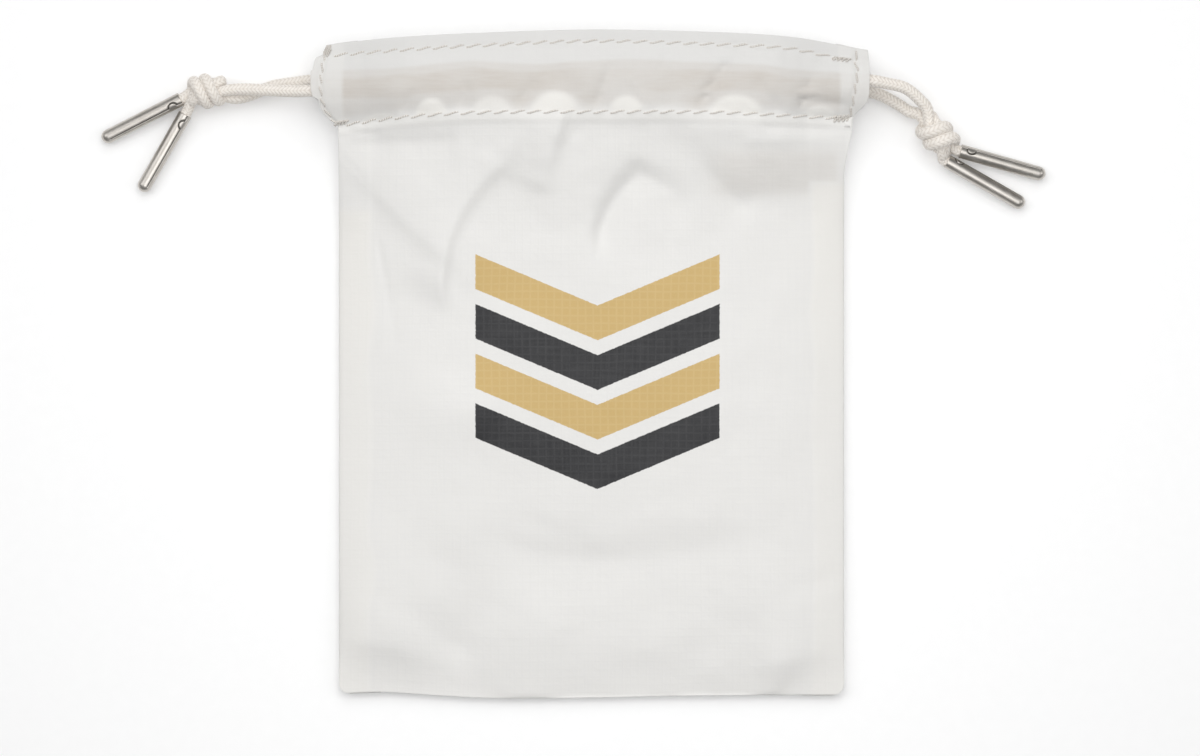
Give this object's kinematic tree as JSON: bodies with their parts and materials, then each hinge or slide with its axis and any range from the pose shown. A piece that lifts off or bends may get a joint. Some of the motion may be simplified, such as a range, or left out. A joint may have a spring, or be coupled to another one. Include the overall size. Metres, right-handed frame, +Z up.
{
  "type": "drawstring pouch",
  "caption": "Small flat drawstring pouch of thin white ripstop cloth, with a stitched cord casing round its open mouth, knotted cotton drawcords and slim metal cord ends.",
  "frame": {"origin": "on the surface the pouch lies on, under the middle of its cloth", "axes": "+X to the right as pictured, +Y from the closed bottom edge to the open mouth, +Z up out of the front"},
  "size_m": [0.2366, 0.1658, 0.016],
  "materials": {
    "cloth": "thin woven ripstop",
    "cord": "braided cotton",
    "tip": "satin nickel plate"
  },
  "bodies": {
    "root": {"front_panel": "cloth", "back_panel": "cloth", "front_casing": "cloth", "back_casing": "cloth", "left_drawcord": "cord", "right_drawcord": "cord", "left_knot": "cord", "right_knot": "cord", "left_upper_tip": "tip", "left_lower_tip": "tip", "right_upper_tip": "tip", "right_lower_tip": "tip"}
  },
  "joints": []
}
